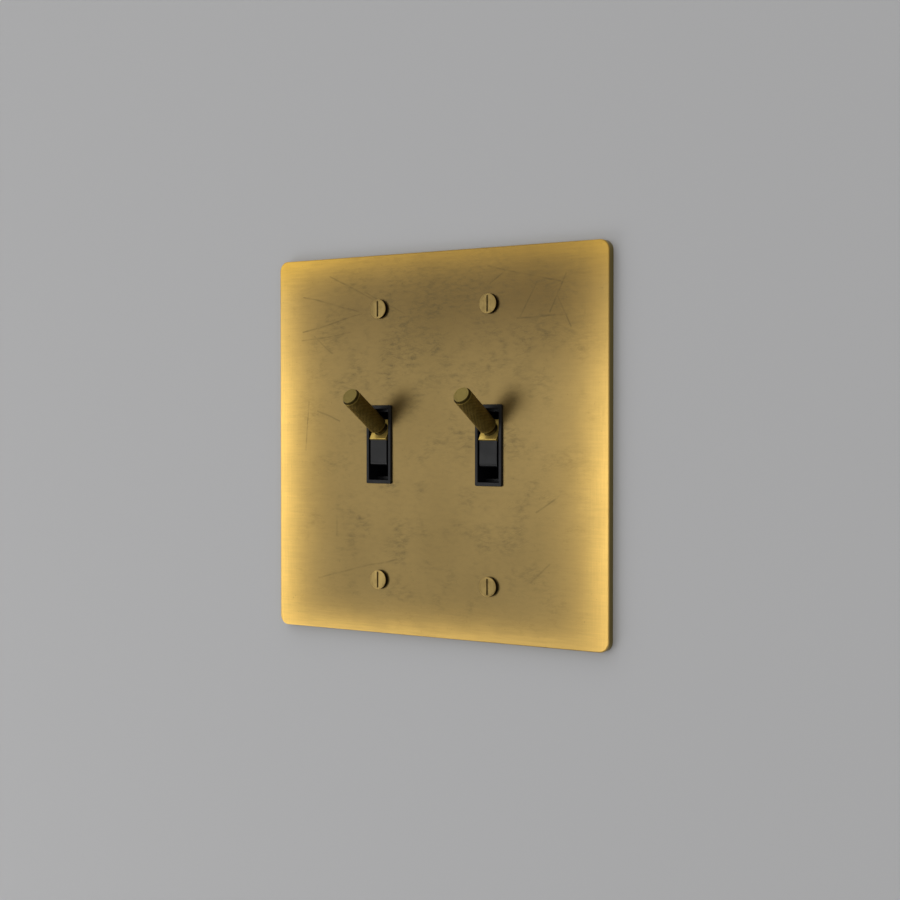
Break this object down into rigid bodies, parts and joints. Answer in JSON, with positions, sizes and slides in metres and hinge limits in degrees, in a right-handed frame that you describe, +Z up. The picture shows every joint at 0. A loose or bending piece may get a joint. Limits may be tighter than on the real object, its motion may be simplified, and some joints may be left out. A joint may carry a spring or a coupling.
{
  "type": "toggle light switch",
  "caption": "Wall-mounted toggle light switch: square antique brass cover plate with slotted screws and knurled brass levers on black toggle blocks, with hinged mechanisms behind.",
  "frame": {"origin": "centre of the cover plate's back rim, in the plane of the wall", "axes": "+X to the right as seen from the room, +Y into the wall, +Z up"},
  "size_m": [0.1376, 0.0539, 0.1352],
  "materials": {
    "plate_brass": "antique, burnished at the edges",
    "screw_brass": "antique satin",
    "lever_brass": "antique, knurled grip",
    "aged_brass": "antique satin",
    "black_frame": "satin moulded",
    "black_gloss": "glossy moulded",
    "housing_plastic": "fine moulded grain",
    "zinc_steel": "zinc plated",
    "bright_steel": "bright",
    "spring_steel": "drawn wire",
    "copper_strip": "rolled copper strip",
    "silver_contact": "silver alloy",
    "terminal_brass": "pressed brass",
    "fibre_board": "pressed fibre",
    "green_screw": "green dyed zinc"
  },
  "bodies": {
    "root": {"cover_plate": "plate_brass", "plate_screws": "screw_brass", "box_screws": "zinc_steel", "screw_retainers": "fibre_board", "body_rivets": "bright_steel", "terminal_screws": "terminal_brass", "ground_screws": "green_screw", "left_yoke": "zinc_steel", "left_front_frame": "black_frame", "left_housing": "housing_plastic", "left_pivot_pin": "bright_steel", "left_common_terminal": "terminal_brass", "left_upper_terminal": "terminal_brass", "left_lower_terminal": "terminal_brass", "left_fixed_buttons": "silver_contact", "right_yoke": "zinc_steel", "right_front_frame": "black_frame", "right_housing": "housing_plastic", "right_pivot_pin": "bright_steel", "right_common_terminal": "terminal_brass", "right_upper_terminal": "terminal_brass", "right_lower_terminal": "terminal_brass", "right_fixed_buttons": "silver_contact"},
    "left_toggle": {"left_toggle_block": "black_gloss", "left_saddle": "aged_brass", "left_lever": "lever_brass", "left_plunger_spring": "spring_steel"},
    "left_plunger": {"left_plunger": "bright_steel"},
    "left_rocker": {"left_rocker_contact": "copper_strip", "left_rocker_buttons": "silver_contact"},
    "right_toggle": {"right_toggle_block": "black_gloss", "right_saddle": "aged_brass", "right_lever": "lever_brass", "right_plunger_spring": "spring_steel"},
    "right_plunger": {"right_plunger": "bright_steel"},
    "right_rocker": {"right_rocker_contact": "copper_strip", "right_rocker_buttons": "silver_contact"}
  },
  "joints": [
    {"name": "left_toggle_swing", "type": "hinge", "parent": "root", "child": "left_toggle", "pos_m": [-0.02302, 0.0063, 0], "axis": [1, 0, 0], "range_deg": [0, 63.6]},
    {"name": "left_plunger_slide", "type": "slide", "parent": "left_toggle", "child": "left_plunger", "axis": [0, -0.8499, 0.527], "range_m": [0, 0.0014], "stiffness_N_per_m": 300, "springref_m": -0.004, "deforming": ["left_plunger_spring"]},
    {"name": "left_rocker_tilt", "type": "hinge", "parent": "root", "child": "left_rocker", "pos_m": [-0.02302, 0.02135, 0], "axis": [1, 0, 0], "range_deg": [-10, 0]},
    {"name": "right_toggle_swing", "type": "hinge", "parent": "root", "child": "right_toggle", "pos_m": [0.02302, 0.0063, 0], "axis": [1, 0, 0], "range_deg": [0, 63.6]},
    {"name": "right_plunger_slide", "type": "slide", "parent": "right_toggle", "child": "right_plunger", "axis": [0, -0.8499, 0.527], "range_m": [0, 0.0014], "stiffness_N_per_m": 300, "springref_m": -0.004, "deforming": ["right_plunger_spring"]},
    {"name": "right_rocker_tilt", "type": "hinge", "parent": "root", "child": "right_rocker", "pos_m": [0.02302, 0.02135, 0], "axis": [1, 0, 0], "range_deg": [-10, 0]}
  ],
  "couplings": [
    {"joint": "left_rocker_tilt", "follows": "left_toggle_swing", "ratio": -0.15723},
    {"joint": "right_rocker_tilt", "follows": "right_toggle_swing", "ratio": -0.15723}
  ]
}
